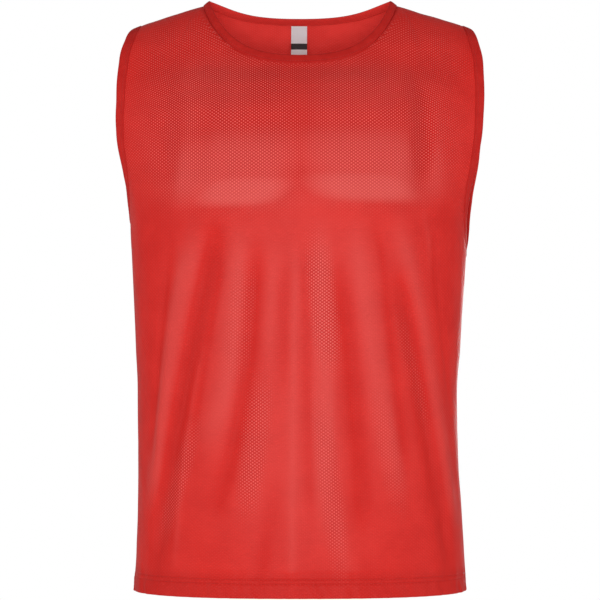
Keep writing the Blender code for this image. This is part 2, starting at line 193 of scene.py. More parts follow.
BACK_PATCHES = [
    (-0.070, -0.170, 0.075, 0.100, 0.0, 0.85),
    (0.070, -0.170, 0.075, 0.100, 0.0, 0.85),
    (0.000, -0.110, 0.070, 0.060, 0.0, 0.60),
    (0.080, -0.420, 0.014, 0.090, -0.15, 0.60),
    (-0.072, -0.470, 0.014, 0.090, 0.15, 0.60),
    (0.012, -0.520, 0.014, 0.080, 0.0, 0.60),
    (-0.120, -0.560, 0.010, 0.060, 0.25, 0.55),
]

# Patches of painted highlight: the cloth is painted paler over the chest, the back and down the
# middle of the front
FRONT_PAINTED_HIGHLIGHT = [
    (-0.066, -0.226, 0.048, 0.017, 0.6, 0.95),
    (0.072, -0.221, 0.058, 0.017, -0.6, 0.95),
    (-0.076, -0.200, 0.066, 0.038, 0.4, 0.60),
    (0.078, -0.196, 0.070, 0.038, -0.4, 0.60),
    (-0.100, -0.125, 0.040, 0.050, 0.0, 0.12),
    (0.060, -0.125, 0.050, 0.045, 0.0, 0.12),
    (0.000, -0.420, 0.115, 0.210, 0.0, 0.25),
    (0.026, -0.430, 0.016, 0.180, 0.0, 0.42),
]
BACK_PAINTED_HIGHLIGHT = [
    (-0.080, -0.140, 0.060, 0.060, 0.0, 0.70),
    (0.080, -0.140, 0.060, 0.060, 0.0, 0.70),
]

# ---- sizes that the looks add

# The cloth: its thickness, how far its middle lies out from the solids' own surface, and how
# far the turned-up layer of the hem lies behind it
CLOTH = 0.0007
CLOTH_OUT = 0.0003
HEM_LAYER = 0.0011
SOFT_FOLD_GAIN = 1.3
SEEDS = {"cloth": 5, "front": 11, "back": 23, "armhole_binding_left": 31,
         "armhole_binding_right": 37, "neck_binding": 41}

# The knit: its staggered cells, its wales, and from a pinhole's middle, in millimetres, where
# its dark ring of painted shade ends, where its edge ends and where its floor of painted light
# begins
KNIT_CELL = (0.0049, 0.0036)
WALE = 0.0013
PINHOLE_RING = 1.55
PINHOLE_EDGE = 1.05
PINHOLE_FLOOR = 0.40
BINDING_CELL = (0.0030, 0.0026)
BINDING_WALE = 0.0011

# Gentle unevenness all over a panel, and how the folds flatten towards its side seams
WAVINESS = 0.00035
WAVE_LENGTHS = (0.031, 0.047, 0.071)
CALM_HEM = 0.050
SEAM_CALM = 0.012
SEAM_FOLD_SHARE = 0.15
SEAM_SINK = 0.0003
SEAM_SINK_WIDTH = 0.002

# A fold this high shows fully pale with painted highlight, or dark with painted shade where it
# sinks; the hem gets painted shade as in a trough
FULL_RIDGE = 0.0028
RIDGE_RANGE = (-1.8, 1.0)
HEM_SHADE = 1.6
HEM_SHADE_FADE = 0.012

# Puckers beside the seams: their length, their sway, how far they reach at a side seam and how
# much further at the foot of an armhole, and the heights between which they are strong
PUCKER_LENGTH = 0.0055
PUCKER_SWAY = 0.012
PUCKER_REACH = (0.009, 0.010)
PUCKER_SHARE = (0.20, 0.80)
PUCKER_FROM = (-0.340, 0.05)
PUCKER_TO = (-0.190, 0.06)

# The hem's stitching, the groove it draws into the cloth and the puckers it gathers there
HEM_STITCH_HEIGHTS = (0.0158, 0.0208)
HEM_STITCH = {"spacing": 0.0030, "length": 0.0025, "radius": 0.00030}
STITCH_SINK = 0.0005
STITCH_SINK_WIDTH = 0.0008
HEM_PUCKER = 0.0010
HEM_PUCKER_LENGTHS = (0.0131, 0.0187, 0.0291, 0.0457)
HEM_EDGE_WAVE = 0.0009
HEM_EDGE_LENGTHS = (0.0113, 0.0163, 0.0239)
LOOPER_RADIUS = 0.00022
THREAD_PROUD = 0.00008
LOOPER_PROUD = 0.00025
HEM_TURN_ANGLES = (135, 90, 45)

# The bindings: the cloth near an edge that gives its direction, the columns of a panel that
# crowd together beside an armhole, and how far a binding laps over the panels' edges
EDGE_PATCH = 0.012
CROWDED_COLUMNS = 8
BINDING_LAP = 0.0006
BINDING_THREAD = {"spacing": 0.0031, "length": 0.0026, "radius": 0.00026}
BINDING_THREAD_LIFT = 0.00098

# The panels' mesh: columns over half the neck and a shoulder, rows below and above the underarm,
# and the heights of the rows over the hem
NECK_COLUMNS = 56
SHOULDER_COLUMNS = 32
LOWER_ROWS = 116
UPPER_ROWS = 104
HEM_ROWS = np.array([0, 1.2, 3.4, 5.8, 8.2, 10.6, 12.8, 14.4, 15.2, 15.8, 16.4, 17.3, 18.6,
                     19.7, 20.3, 20.8, 21.3, 22.1, 23.4, 25.4]) / 1000

# The label: how far down the back its ends lie, its size, and its place inside the cloth
LABEL_TURNS = (4.4 / 18, 0.35 / 18)
LABEL_HALF_WIDTH = 0.0095
LABEL_CENTRE = -0.0010
LABEL_CLOTH = 0.0004
LABEL_INSET = 0.00135
LABEL_BAND = (0.0106, 0.0184)

CAMERA_DISTANCE = 3.6
CAMERA_HEIGHT = -0.35
PICTURE_WIDTH = 0.702
SENSOR = 36.0


# ---- form of the cloth

def ease(share):
    """A share from 0 to 1 that leaves and arrives gently."""
    share = np.clip(share, 0, 1)
    return share * share * (3 - 2 * share)


def unit(vectors):
    return vectors / np.linalg.norm(vectors, axis=-1, keepdims=True)


def length_along(points, axis=0):
    """How far along its line each point lies, from 0 at the first of each line."""
    step = np.linalg.norm(np.diff(points, axis=axis), axis=-1)
    pad = [(1, 0) if k == axis else (0, 0) for k in range(step.ndim)]
    return np.cumsum(np.pad(step, pad), axis=axis)


def smooth_read(places, values, at):
    """Values read between rows along a curve that never swings past them."""
    at = np.clip(at, places[0], places[-1])
    step = np.diff(places)
    rise = np.diff(values) / step
    slope = np.concatenate([rise[:1], np.zeros(len(rise) - 1), rise[-1:]])
    product = rise[:-1] * rise[1:]
    total = rise[:-1] + rise[1:]
    same_way = product > 0
    slope[1:-1][same_way] = 2 * product[same_way] / total[same_way]
    low = np.clip(np.searchsorted(places, at) - 1, 0, len(step) - 1)
    t = (at - places[low]) / step[low]
    start = values[low] + t * step[low] * slope[low]
    end = values[low + 1] - (1 - t) * step[low] * slope[low + 1]
    return start + (end - start) * ease(t)


def level(name, height):
    return smooth_read(LEVELS["height"], LEVELS[name], height)


def ring_share(share):
    """Sideways place and depth, each from 0 to 1, at an equal share of the way round a panel."""
    angle = np.linspace(0, np.pi / 2, 400)
    across = np.sin(angle) ** (2 / ROUNDNESS)
    out = np.cos(angle) ** (2 / ROUNDNESS)
    run = np.hypot(np.diff(across) * GIRTH_RATIO, np.diff(out))
    run = np.concatenate([[0], np.cumsum(run)]) / run.sum()
    return np.interp(np.abs(share), run, across), np.interp(np.abs(share), run, out)


def neck_line(sizes, side, angle):
    """Points of the neck line on one side, from its middle at 0 to the shoulder at a right angle."""
    base, growth = NECK_SCOOP[side]
    drop = np.clip(np.cos(angle), 0, 1) ** (base + growth * np.sin(angle) ** 2)
    out = sizes[side] * np.cos(angle)
    height = sizes["side_height"] + (sizes[side + "_height"] - sizes["side_height"]) * drop
    return sizes["half_width"] * np.sin(angle), out, height


def top_edge(side, share):
    """Sideways place, depth and height of a panel's upper edge: the neck, then the shoulder."""
    along_neck = np.clip(np.abs(share) / NECK_SHARE, 0, 1)
    across, out, height = neck_line(NECK_SEAM, side, along_neck * np.pi / 2)
    out = np.where(along_neck < 1, out, 0)
    along_shoulder = np.clip((np.abs(share) - NECK_SHARE) / (1 - NECK_SHARE), 0, 1)
    tip_across, tip_height = SHOULDER_TIP
    across = across + (tip_across - across) * along_shoulder
    height = height + (tip_height - height) * along_shoulder
    return across, out, height


def underarm_height(share):
    middle = (UNDERARM_HEIGHT["left"] + UNDERARM_HEIGHT["right"]) / 2
    return middle + (UNDERARM_HEIGHT["left"] - middle) * share


def body_cloth(side, share, height):
    """Cloth below the underarms."""
    across, out = ring_share(share)
    x = level("shift", height) + np.sign(share) * across * level("half_width", height)
    return np.stack([x, out * level(side + "_depth", height), height], axis=-1)


def chest_cloth(side, share, turn):
    """Cloth from the underarms, at a turn of 0, to the neck and shoulder seams, at half a turn."""
    across, _ = ring_share(share)
    underarm = underarm_height(share)
    rise = (1 - np.cos(turn)) / 2
    top_across, top_out, top_height = top_edge(side, share)
    height = underarm + (top_height - underarm) * rise
    top_place = top_across / SHOULDER_TIP[0]
    place = top_place + (across - top_place) * np.sqrt(1 - rise)
    reach = level("half_width", underarm) * (1 - rise) + SHOULDER_TIP[0] * rise
    reach = reach + smooth_read(ARMHOLE_BULGE["rise"], ARMHOLE_BULGE["bulge"], rise)
    if side == "front":
        inset = LEFT_FRONT_INSET * np.sin(np.pi * rise ** INSET_LOWNESS) ** 2
        reach = reach - np.where(share > 0, inset, 0)
    start, full = RIGHT_INSET_RISE
    inset = RIGHT_INSET * ease((rise - start) / (full - start)) * place ** RIGHT_INSET_POWER
    reach = reach - np.where(share < 0, inset, 0)
    x = level("shift", underarm) * (1 - rise) + np.sign(share) * place * reach

    edge_out = ARMHOLE_DEPTH[side] * np.sin(turn)
    full_out = level(side + "_depth", height)
    cut_place = place * (1 - np.clip(edge_out / full_out, 0, 1) ** ROUNDNESS) ** (1 / ROUNDNESS)
    round_out = full_out * (1 - cut_place ** ROUNDNESS) ** (1 / ROUNDNESS)
    slant_out = edge_out + (full_out - edge_out) * (1 - place ** ROUNDNESS)
    ring_out = round_out + (slant_out - round_out) * ease(rise / SLANT_FROM)
    last_place = top_place
    last_out = level(side + "_depth", top_height) * (1 - last_place ** ROUNDNESS)
    sharpness = 1 + ease(np.abs(share) / TURN_SPREAD)
    turned = 1 - np.clip(1 - rise ** TURN_POWER, 0, 1) ** (1 / sharpness)
    return np.stack([x, ring_out + (top_out - last_out) * turned, height], axis=-1)


def panel_shares():
    neck = np.linspace(0, NECK_SHARE, NECK_COLUMNS + 1)
    shoulder = np.linspace(NECK_SHARE, 1, SHOULDER_COLUMNS + 1)
    half = np.concatenate([neck, shoulder[1:]])
    return np.concatenate([-half[:0:-1], half])


def panel_form(side):
    """A panel's cloth without folds: rows up from the hem, columns across."""
    share = panel_shares()[None, :]
    hem = LEVELS["height"][0]
    low = np.tile(hem + HEM_ROWS[:, None], (1, share.shape[1]))
    start = hem + HEM_ROWS[-1]
    rest = np.linspace(0, 1, LOWER_ROWS + 1)[1:, None]
    heights = np.concatenate([low, start + (underarm_height(share) - start) * rest])
    turns = np.linspace(0, np.pi, UPPER_ROWS + 1)[1:, None]
    grid = np.concatenate([body_cloth(side, share, heights), chest_cloth(side, share, turns)])
    if side == "front":
        grid[..., 1] *= -1
    return grid


def outward_ways(grid, side):
    """Outward directions of a panel's cloth, kept in the seam's own plane at each seam.

    Beside an armhole the columns crowd together, so they share one direction.
    """
    up = np.gradient(grid, axis=0)
    over = np.gradient(grid, axis=1)
    outward = np.cross(over, up)
    if side == "back":
        outward = -outward
    seam = np.zeros(grid.shape[:2], bool)
    seam[:-UPPER_ROWS, [0, -1]] = True
    seam[-1, np.abs(panel_shares()) > NECK_SHARE - 1e-6] = True
    outward[seam, 1] = 0
    outward[0, :, 2] = 0
    chest = outward[-UPPER_ROWS:]
    chest[:, -CROWDED_COLUMNS:] = chest[:, -CROWDED_COLUMNS - 1, None]
    chest[:, :CROWDED_COLUMNS] = chest[:, CROWDED_COLUMNS, None]
    return unit(outward)


def fold_lift(grid, folds):
    """How far the folds carry each point of a panel outwards."""
    along = length_along(grid, axis=1)
    lift = np.zeros(grid.shape[:2])
    for fold in np.array(folds, dtype=[(name, float) for name in FOLD_COLUMNS]):
        heights = np.array([fold["low_z"], fold["middle_z"], fold["top_z"]])
        places = np.array([fold["low_x"], fold["middle_x"], fold["top_x"]])
        for row, points in enumerate(grid):
            line = smooth_read(heights, places, points[:, 2])
            centre = np.interp(line, points[:, 0], along[row])
            away = (along[row] - centre) / fold["half_width"]
            from_end = np.minimum(heights[-1] - points[:, 2], points[:, 2] - heights[0])
            lift[row] += fold["rise"] * np.exp(-away ** 2) * ease(from_end / FOLD_TAPER + 0.5)
    return lift


def crease_lift(grid, creases):
    """How far the creases across a panel carry each of its points outwards."""
    lift = np.zeros(grid.shape[:2])
    for crease in np.array(creases, dtype=[(name, float) for name in CREASE_COLUMNS]):
        length = crease["to_x"] - crease["from_x"]
        share = (grid[..., 0] - crease["from_x"]) / length
        line = crease["from_z"] + (crease["to_z"] - crease["from_z"]) * share
        fade = ease(share / 0.4 + 0.2) * ease((1 - share) / 0.4 + 0.2)
        away = (grid[..., 2] - line) / crease["half_height"]
        lift += crease["rise"] * np.exp(-away ** 2) * fade
    return lift


def uneven(run, lengths, seed):
    """A soft wave of uneven length along a run, between about -1 and 1."""
    chance = np.random.default_rng(seed)
    total = np.zeros_like(run)
    for length in lengths:
        total += np.sin(2 * np.pi * run / length + chance.uniform(0, 2 * np.pi))
    return total / len(lengths)


def hem_lift(grid, runs, seed):
    """Puckers along the hem, and the two grooves that its stitching draws into it."""
    up = grid[..., 2] - LEVELS["height"][0]
    across = runs[..., 0]
    near = np.exp(-((up - 0.016) / 0.012) ** 2)
    wave = uneven(across, HEM_PUCKER_LENGTHS, seed)
    lean = uneven(across + up * 0.6, HEM_EDGE_LENGTHS, seed + 1)
    lift = HEM_PUCKER * near * wave + HEM_EDGE_WAVE * np.exp(-(up / 0.018) ** 2) * lean
    for place in HEM_STITCH_HEIGHTS:
        lift -= STITCH_SINK * np.exp(-((up - place) / STITCH_SINK_WIDTH) ** 2)
    return lift


def patches(grid, rows):
    """How strongly a set of soft-edged patches shows at each point of a panel."""
    shown = np.zeros(grid.shape[:2])
    for patch in np.array(rows, dtype=[(name, float) for name in PATCH_COLUMNS]):
        up = grid[..., 2] - patch["z"]
        over = grid[..., 0] - patch["x"] - patch["lean"] * up
        away = np.cbrt(np.abs(over / patch["half_width"]) ** 3
                       + np.abs(up / patch["half_height"]) ** 3)
        shown = np.maximum(shown, patch["amount"] * (1 - ease((away - 0.55) / 0.9)))
    return shown


def knit_runs(grid, outward, side):
    """Runs of the knit across and up the cloth, in metres, level as it was cut."""
    lying = ease(outward[..., 2:3])
    towards_seam = 1 if side == "front" else -1
    up = (1 - lying) * np.array([0, 0, 1]) + lying * np.array([0, towards_seam, 0])
    up = unit(up - (up * outward).sum(axis=-1, keepdims=True) * outward)
    across = np.cross(up, outward) * towards_seam
    middle = grid.shape[1] // 2

    def total(step, way, axis):
        between = (way + np.roll(way, -1, axis=axis)).take(range(way.shape[axis] - 1), axis) / 2
        add = (step * between).sum(axis=-1)
        pad = [(1, 0) if k == axis else (0, 0) for k in range(2)]
        return np.cumsum(np.pad(add, pad), axis=axis)

    sideways = total(np.diff(grid, axis=1), across, 1)
    sideways -= sideways[:, middle:middle + 1]
    climb = total(np.diff(grid, axis=1), up, 1)
    climb -= climb[:, middle:middle + 1]
    centre = total(np.diff(grid, axis=0), up, 0)[:, middle:middle + 1]
    return np.stack([sideways, climb + centre], axis=-1)


# ---- making meshes

def grid_faces(rows, columns, closed_rows=False, closed_columns=False):
    """Quads between the points of a grid, numbered row by row."""
    index = np.arange(rows * columns).reshape(rows, columns)
    if closed_rows:
        index = np.concatenate([index, index[:1]])
    if closed_columns:
        index = np.concatenate([index, index[:, :1]], axis=1)
    corners = [index[:-1, :-1], index[:-1, 1:], index[1:, 1:], index[1:, :-1]]
    return np.stack(corners, axis=-1).reshape(-1, 4)


def new_piece(name, points, faces, material, runs=None, marks=None, round_length=None):
    """A mesh object with its own runs in metres as UV map, and named marks as attributes.

    On a strip that closes round a length, the last faces carry on to that length.
    """
    mesh = bpy.data.meshes.new(name)
    mesh.from_pydata(points.reshape(-1, 3).tolist(), [], faces)
    if runs is not None:
        layer = mesh.uv_layers.new(name="runs")
        corners = np.empty(len(mesh.loops), np.int32)
        mesh.loops.foreach_get("vertex_index", corners)
        runs = runs.reshape(-1, 2)[corners]
        if round_length is not None:
            along = runs[:, 0].reshape(-1, 4)
            along += round_length * (along.max(axis=1, keepdims=True) - along > round_length / 2)
            runs[:, 0] = along.ravel()
        layer.data.foreach_set("uv", runs.astype(np.float32).ravel())
    for mark, values in (marks or {}).items():
        layer = mesh.attributes.new(mark, "FLOAT", "POINT")
        layer.data.foreach_set("value", np.asarray(values, np.float32).ravel())
    mesh.shade_smooth()
    mesh.materials.append(material)
    piece = bpy.data.objects.new(name, mesh)
    bpy.context.scene.collection.objects.link(piece)
    return piece


def thicken(piece, thickness, inside=None):
    """Gives a single layer of cloth its thickness, equally to both sides, and its inner face."""
    bpy.ops.object.select_all(action="DESELECT")
    bpy.context.view_layer.objects.active = piece
    piece.select_set(True)
    solid = piece.modifiers.new("cloth thickness", "SOLIDIFY")
    solid.thickness = thickness
    solid.offset = 0
    if inside is not None:
        piece.data.materials.append(inside)
        solid.material_offset = 1
    bpy.ops.object.modifier_apply(modifier=solid.name)
    piece.select_set(False)


def face_outwards(faces, flip):
    return faces[:, ::-1] if flip else faces


# ---- finishes

class Finish:
    """A material under construction, with short ways to add and join its nodes."""

    def __init__(self, name, colour, roughness, specular):
        self.material = bpy.data.materials.new(name)
        self.material.use_nodes = True
        self.tree = self.material.node_tree
        self.shader = self.tree.nodes["Principled BSDF"]
        self.set("Base Color", (*colour, 1))
        self.set("Roughness", roughness)
        self.set("Specular IOR Level", specular)

    def set(self, socket, value):
        self.shader.inputs[socket].default_value = value

    def join(self, source, node, socket):
        if isinstance(source, (int, float, tuple)):
            node.inputs[socket].default_value = source
        else:
            self.tree.links.new(source, node.inputs[socket])

    def sum(self, operation, *values, clamp=False):
        node = self.tree.nodes.new("ShaderNodeMath")
        node.operation = operation
        node.use_clamp = clamp
        for place, value in enumerate(values):
            self.join(value, node, place)
        return node.outputs[0]

    def wave(self, run, length):
        return self.sum("SINE", self.sum("MULTIPLY", run, 2 * np.pi / length))

    def runs(self):
        return self.tree.nodes.new("ShaderNodeUVMap").outputs["UV"]

    def mark(self, name):
        node = self.tree.nodes.new("ShaderNodeAttribute")
        node.attribute_name = name
        return node.outputs["Fac"]

    def split(self, vector):
        node = self.tree.nodes.new("ShaderNodeSeparateXYZ")
        self.join(vector, node, 0)
        return node.outputs["X"], node.outputs["Y"]

    def cloud(self, size, detail=2.0):
        node = self.tree.nodes.new("ShaderNodeTexNoise")
        node.inputs["Scale"].default_value = 1 / size
        node.inputs["Detail"].default_value = detail
        place = self.tree.nodes.new("ShaderNodeTexCoord")
        self.join(place.outputs["Object"], node, "Vector")
        return node.outputs["Fac"]

    def mottled(self, size, first, second):
        """A ground that wanders softly between two colours."""
        return self.blend(self.remap(self.cloud(size), 0.3, 0.7), first, second)

    def remap(self, value, low, high):
        node = self.tree.nodes.new("ShaderNodeMapRange")
        node.interpolation_type = "SMOOTHSTEP"
        node.inputs["From Min"].default_value = low
        node.inputs["From Max"].default_value = high
        self.join(value, node, "Value")
        return node.outputs["Result"]

    def blend(self, share, first, second):
        node = self.tree.nodes.new("ShaderNodeMix")
        node.data_type = "RGBA"
        self.join(share, node, 0)
        self.join(first, node, 6)
        self.join(second, node, 7)
        return node.outputs[2]

    def relief(self, height, depth, below=None):
        node = self.tree.nodes.new("ShaderNodeBump")
        node.inputs["Strength"].default_value = 1.0
        node.inputs["Distance"].default_value = depth
        self.join(height, node, "Height")
        if below is not None:
            self.join(below, node, "Normal")
        return node.outputs["Normal"]

    def finish(self, colour, normal=None):
        self.join(colour, self.shader, "Base Color")
        if normal is not None:
            self.join(normal, self.shader, "Normal")
        return self.material


def lattice(work, across, up, wide, high):
    """Distance in millimetres to the nearest pinhole, in rows that are staggered by half."""
    nearest = None
    for shift in (0.0, 0.5):
        parts = []
        for run, size in ((across, wide), (up, high)):
            cell = work.sum("ADD", work.sum("DIVIDE", run, size), shift)
            centred = work.sum("SUBTRACT", work.sum("FRACT", cell), 0.5)
            side = work.sum("MULTIPLY", centred, size * 1000)
            parts.append(work.sum("MULTIPLY", side, side))
        away = work.sum("SQRT", work.sum("ADD", *parts))
        nearest = away if nearest is None else work.sum("MINIMUM", nearest, away)
    return nearest


def pinhole_knit():
    """Red mesh knit: staggered pinholes, fine wales, puckers at the seams and worn-in clouding, with
    painted highlight, painted shade and painted light at its pinholes.
    """
    work = Finish("mesh_knit", (0.60, 0.026, 0.021), 0.42, 0.08)
    across, up = work.split(work.runs())
    away = lattice(work, across, up, *KNIT_CELL)
    pinhole = work.remap(away, PINHOLE_EDGE, PINHOLE_FLOOR)
    pinhole_shading, painted_highlight = work.mark("pinhole_light_and_shade"), work.mark("painted_highlight")
    wales = work.wave(across, WALE)
    sway = work.sum("MULTIPLY", work.cloud(0.022), PUCKER_SWAY)
    puckers = work.wave(work.sum("ADD", work.mark("seam_run"), sway), PUCKER_LENGTH)
    puckers = work.sum("MULTIPLY", puckers, work.sum(
        "MULTIPLY", work.mark("pucker"), work.remap(work.cloud(0.017), 0.35, 0.6)))

    ground = work.mottled(0.035, (0.560, 0.017, 0.013, 1), (0.605, 0.021, 0.016, 1))
    fold_light_and_shade = work.mark("fold_light_and_shade")
    # Painted highlight: the ground is painted paler in the painted highlight patches and on fold
    # ridges
    pale = work.sum("ADD", work.sum("MULTIPLY", painted_highlight, 0.80), work.sum("MULTIPLY", fold_light_and_shade, 0.30),
                    clamp=True)
    ground = work.blend(pale, ground, (0.69, 0.104, 0.092, 1))
    # Painted shade: darker in fold troughs and along the hem
    trough = work.sum("MULTIPLY", fold_light_and_shade, -0.36, clamp=True)
    ground = work.blend(trough, ground, (0.46, 0.012, 0.009, 1))
    # Painted light in the pinholes: the dots are painted paler pink, most where the patches say
    strength = work.sum("ADD", work.sum("MULTIPLY", pinhole_shading, 0.74), 0.06)
    colour = work.blend(work.sum("MULTIPLY", pinhole, strength), ground, (0.80, 0.175, 0.158, 1))
    # Painted shade: a dark ring round each pinhole
    ring = work.remap(away, PINHOLE_EDGE, PINHOLE_RING)
    painted_shade = work.sum("MULTIPLY", work.sum("MULTIPLY", ring, pinhole_shading), 0.66)
    colour = work.blend(painted_shade, colour, (0.43, 0.007, 0.005, 1))

    knit = work.relief(work.sum("SUBTRACT", work.sum("MULTIPLY", wales, 0.12), pinhole), 0.00022)
    gathered = work.relief(puckers, 0.00018, knit)
    return work.finish(colour, work.relief(work.cloud(0.006), 0.00035, gathered))


def knit_inside():
    """The inner face of the mesh knit: flatter, with its pinholes faint, and painted much paler than
    the outer face as painted light for the light that reaches the inside.
    """
    work = Finish("mesh_knit_inside_painted_light", (0.90, 0.055, 0.046), 0.60, 0.10)
    across, up = work.split(work.runs())
    away = lattice(work, across, up, *KNIT_CELL)
    pinhole = work.remap(away, PINHOLE_EDGE, PINHOLE_FLOOR)
    # Painted light: ground and pinhole dots painted paler than on the outer face
    ground = work.mottled(0.028, (0.86, 0.050, 0.042, 1), (0.92, 0.060, 0.050, 1))
    colour = work.blend(work.sum("MULTIPLY", pinhole, 0.22), ground, (0.90, 0.16, 0.14, 1))
    normal = work.relief(pinhole, 0.00012)
    return work.finish(colour, work.relief(work.cloud(0.007), 0.0005, normal))


def binding_knit():
    """Smooth red rib of the neck and armhole bindings, with painted light on its inner side and
    painted shade in its creases.
    """
    work = Finish("binding_knit", (0.50, 0.018, 0.014), 0.60, 0.08)
    along, over = work.split(work.runs())
    wales = work.wave(along, BINDING_WALE)
    colour = work.mottled(0.012, (0.48, 0.015, 0.012, 1), (0.53, 0.019, 0.015, 1))
    # Painted light: the inner side of the binding is painted paler
    colour = work.blend(work.mark("inner_side"), colour, (0.84, 0.050, 0.041, 1))
    stitches = work.remap(lattice(work, along, over, *BINDING_CELL), 0.95, 0.35)
    colour = work.blend(work.sum("MULTIPLY", stitches, 0.30), colour, (0.34, 0.009, 0.007, 1))
    # Painted shade in the binding's creases: at its seam, its stitch line and its folded edge
    colour = work.blend(work.sum("MULTIPLY", work.mark("crease"), 0.8), colour,
                        (0.36, 0.010, 0.008, 1))
    rib = work.relief(wales, 0.00005, work.relief(stitches, -0.00012))
    return work.finish(colour, work.relief(work.cloud(0.005), 0.0004, rib))


def sewing_thread():
    """Twisted thread, a little darker than the cloth."""
    work = Finish("sewing_thread", (0.36, 0.014, 0.012), 0.5, 0.4)
    twist = work.cloud(0.0006, 1.0)
    colour = work.blend(twist, (0.38, 0.014, 0.011, 1), (0.50, 0.020, 0.016, 1))
    return work.finish(colour, work.relief(twist, 0.0001))


def label_weave():
    """White woven satin with one plain dark band."""
    work = Finish("label_weave", (0.92, 0.92, 0.92), 0.38, 0.5)
    across, up = work.split(work.runs())
    threads, warp = work.wave(up, 0.0004), work.wave(across, 0.0005)
    low, high = LABEL_BAND
    band = work.sum("MULTIPLY", work.remap(up, low, low + 0.0002),
                    work.remap(up, high, high - 0.0002))
    white = work.blend(work.cloud(0.004), (0.86, 0.95, 0.99, 1), (0.90, 0.97, 1.00, 1))
    colour = work.blend(band, white, (0.018, 0.018, 0.022, 1))
    normal = work.relief(work.sum("ADD", threads, work.sum("MULTIPLY", warp, 0.5)), 0.00004)
    return work.finish(colour, normal)


# ---- pieces

def seam_marks(grid):
    """Runs along the armhole seams, and how strongly the cloth puckers beside them."""
    seam_run = np.tile(length_along(grid[:, 0])[:, None], (1, grid.shape[1]))
    begins, ends = [ease((grid[..., 2] - low) / over) for low, over in (PUCKER_FROM, PUCKER_TO)]
    armhole = begins * (1 - ends)
    reach = PUCKER_REACH[0] + PUCKER_REACH[1] * armhole
    strength = PUCKER_SHARE[0] + PUCKER_SHARE[1] * armhole
    return seam_run, np.exp(-(seam_distance(grid) / reach) ** 2) * strength


def panel(side, main_folds, soft_folds, creases, shown, painted_highlight, material, inside):
    """One panel of the bib: its outer cloth, the fold of its hem and the turned-up layer inside."""
    form = panel_form(side)
    flat_ways = outward_ways(form, side)
    runs = knit_runs(form, flat_ways, side)
    up = form[..., 2] - LEVELS["height"][0]
    lift = fold_lift(form, main_folds) + SOFT_FOLD_GAIN * fold_lift(form, soft_folds)
    # Painted light and shade from the folds: paler on ridges, darker in troughs, and painted shade
    # along the hem
    shade = HEM_SHADE * (1 - ease((up - HEM_TURN) / HEM_SHADE_FADE))
    fold_light_and_shade = np.clip(lift / FULL_RIDGE - shade, *RIDGE_RANGE)
    lift += crease_lift(form, creases)
    lift += hem_lift(form, runs, SEEDS[side])
    waves = uneven(runs[..., 0] + 0.3 * runs[..., 1], WAVE_LENGTHS, SEEDS["cloth"])
    lift += WAVINESS * waves * np.minimum(1, up / CALM_HEM)
    from_seam = seam_distance(form)
    lift *= np.minimum(1, SEAM_FOLD_SHARE + from_seam / SEAM_CALM)
    lift -= SEAM_SINK * np.exp(-(from_seam / SEAM_SINK_WIDTH) ** 2)
    cloth = form + flat_ways * lift[..., None]
    ways = outward_ways(cloth, side)
    outer = cloth + ways * CLOTH_OUT

    seam_run, pucker = seam_marks(form)
    # painted_highlight holds the patches of painted highlight
    marks = {"pinhole_light_and_shade": patches(form, shown), "painted_highlight": patches(form, painted_highlight),
             "seam_run": seam_run, "pucker": pucker, "fold_light_and_shade": fold_light_and_shade}
    inner_rows = np.searchsorted(HEM_ROWS, HEM_TURN - 0.0001)
    inner = outer[:inner_rows + 1] - ways[:inner_rows + 1] * HEM_LAYER
    inner[0, :, 2] = outer[0, :, 2]
    turn = []
    for angle in np.radians(HEM_TURN_ANGLES):
        middle = (outer[0] + inner[0]) / 2
        half = (outer[0] - inner[0]) / 2
        drop = np.array([0, 0, -HEM_LAYER / 2]) * np.sin(angle)
        turn.append(middle + half * np.cos(angle) + drop)
    hem = np.concatenate([inner[::-1], turn])
    points = np.concatenate([hem, outer])
    rows = np.array([*range(inner_rows, -1, -1), *[0] * len(turn), *range(len(outer))])
    marks = {name: values[rows] for name, values in marks.items()}
    faces = face_outwards(grid_faces(*points.shape[:2]), side == "back")
    piece = new_piece(side + "_panel_cloth", points, faces.tolist(), material, runs[rows], marks)
    thicken(piece, CLOTH, inside)
    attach(piece, "root")
    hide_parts(side + "_panel")
    return piece, outer, ways


def seam_distance(grid):
    """How far each point lies from the nearest side or armhole edge of its panel."""
    along = length_along(grid, axis=1)
    return np.minimum(along, along[:, -1:] - along)


def round_loop(values, times):
    """Values round a closed line, each evened out with its two neighbours."""
    for _ in range(times):
        values = (np.roll(values, 1, axis=0) + 2 * values + np.roll(values, -1, axis=0)) / 4
    return values


def past_the_edge(loop, out, centre):
    """Directions that carry the cloth on past its edge, away from the panels, round a loop."""
    along = unit(np.roll(loop, -1, axis=0) - np.roll(loop, 1, axis=0))
    onward = unit(np.cross(along, out))
    return onward * np.sign((onward * (centre - loop)).sum())


# Section of a binding: share of the way from the seam to the free edge, height in millimetres
# on its outer side, and how dark it lies in a crease, as painted shade
BINDING_COLUMNS = ("across", "lift", "crease")
BINDING_SECTION = np.array([
    (0.000, 0.20, 1.00), (0.030, 0.45, 0.80), (0.075, 0.95, 0.30), (0.150, 1.20, 0.00),
    (0.230, 1.12, 0.00), (0.285, 0.98, 0.25), (0.340, 1.12, 0.00), (0.480, 1.20, 0.00),
    (0.650, 1.18, 0.00), (0.800, 1.10, 0.00), (0.910, 0.90, 0.00), (0.975, 0.55, 0.20),
    (1.000, 0.00, 0.35),
], dtype=[(name, float) for name in BINDING_COLUMNS])
BINDING_STITCH = 0.285


